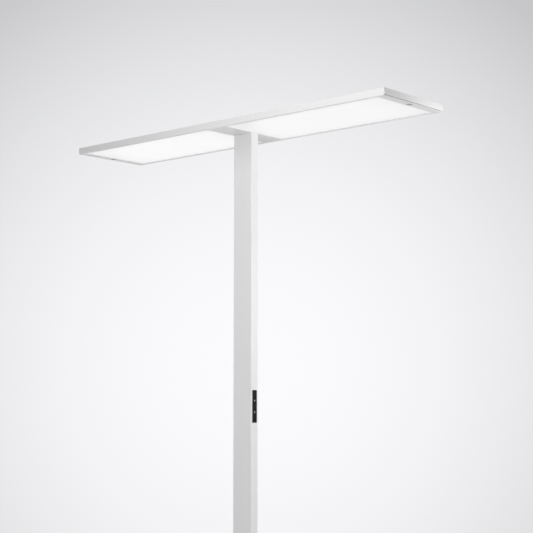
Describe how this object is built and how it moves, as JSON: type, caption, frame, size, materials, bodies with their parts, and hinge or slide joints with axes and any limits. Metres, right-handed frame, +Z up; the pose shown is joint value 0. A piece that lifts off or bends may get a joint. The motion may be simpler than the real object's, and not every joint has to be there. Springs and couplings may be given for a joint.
{
  "type": "office floor lamp",
  "caption": "Free-standing office floor lamp: a slim rectangular head with light panels on a flat rectangular column with push keys, on a rectangular base plate.",
  "frame": {"origin": "centre of the footprint, on the floor under the floor pads", "axes": "+Z up along the column; +X along the head, towards the face of the column with the control panel; +Y towards the back of the column, where the cable gland is"},
  "size_m": [1.2, 0.3, 1.95],
  "materials": {
    "white_paint": "satin powder coat on steel",
    "white_coat": "satin white powder coat on aluminium",
    "aluminium": "milled",
    "steel": "zinc plated",
    "rubber": "matt",
    "black_gloss": "gloss",
    "black_matte": "matt",
    "mark_white": "satin",
    "module_case": "matt",
    "green_board": "satin solder mask",
    "white_board": "satin solder mask",
    "cable_sheath": "matt",
    "lit_diffuser": "micro-prismatic, lit",
    "lit_window": "opal, lit",
    "light_guide": "polished",
    "white_sheet": "matt",
    "sensor_lens": "satin"
  },
  "bodies": {
    "stand": {"base_plate": "white_paint", "floor_pads": "rubber", "base_bolts": "steel", "foot_block": "aluminium", "foot_screws": "steel", "column_profile": "white_coat", "cable_gland": "black_matte", "gland_nut": "black_matte", "driver_carrier": "aluminium", "mains_terminal": "module_case", "led_driver": "module_case", "driver_screws": "steel", "lighting_controller": "module_case", "mains_wires": "cable_sheath", "driver_output_wires": "cable_sheath", "head_cable": "cable_sheath", "control_cable": "cable_sheath", "control_fascia": "black_gloss", "control_housing": "black_matte", "control_board": "green_board", "key_switches": "black_matte", "front_side_rail": "white_coat", "rear_side_rail": "white_coat", "left_end_cap": "white_coat", "right_end_cap": "white_coat", "left_end_strip": "white_coat", "right_end_strip": "white_coat", "bridge_cover": "white_coat", "head_beam": "aluminium", "beam_rail_screws": "steel", "beam_column_screws": "steel", "head_terminal": "module_case", "left_diffuser": "lit_diffuser", "right_diffuser": "lit_diffuser", "left_light_guide": "light_guide", "right_light_guide": "light_guide", "left_reflector": "white_sheet", "right_reflector": "white_sheet", "left_back_tray": "aluminium", "right_back_tray": "aluminium", "left_edge_led_boards": "white_board", "right_edge_led_boards": "white_board", "left_uplight_board": "white_board", "right_uplight_board": "white_board", "top_cover": "white_coat", "left_uplight_window": "lit_window", "right_uplight_window": "lit_window", "cover_screws": "steel", "left_sensor": "black_matte", "right_sensor": "black_matte", "left_sensor_lens": "sensor_lens", "right_sensor_lens": "sensor_lens", "left_head_wires": "cable_sheath", "right_head_wires": "cable_sheath"},
    "upper_push_key": {"upper_key": "black_gloss", "upper_key_mark": "mark_white", "upper_switch_plunger": "mark_white"},
    "lower_push_key": {"lower_key": "black_gloss", "lower_key_mark": "mark_white", "lower_switch_plunger": "mark_white"}
  },
  "joints": [
    {"name": "upper_key_press", "type": "slide", "parent": "stand", "child": "upper_push_key", "axis": [-1, 0, 0], "range_m": [0, 0.001], "stiffness_N_per_m": 800, "springref_m": -0.001},
    {"name": "lower_key_press", "type": "slide", "parent": "stand", "child": "lower_push_key", "axis": [-1, 0, 0], "range_m": [0, 0.001], "stiffness_N_per_m": 800, "springref_m": -0.001}
  ]
}
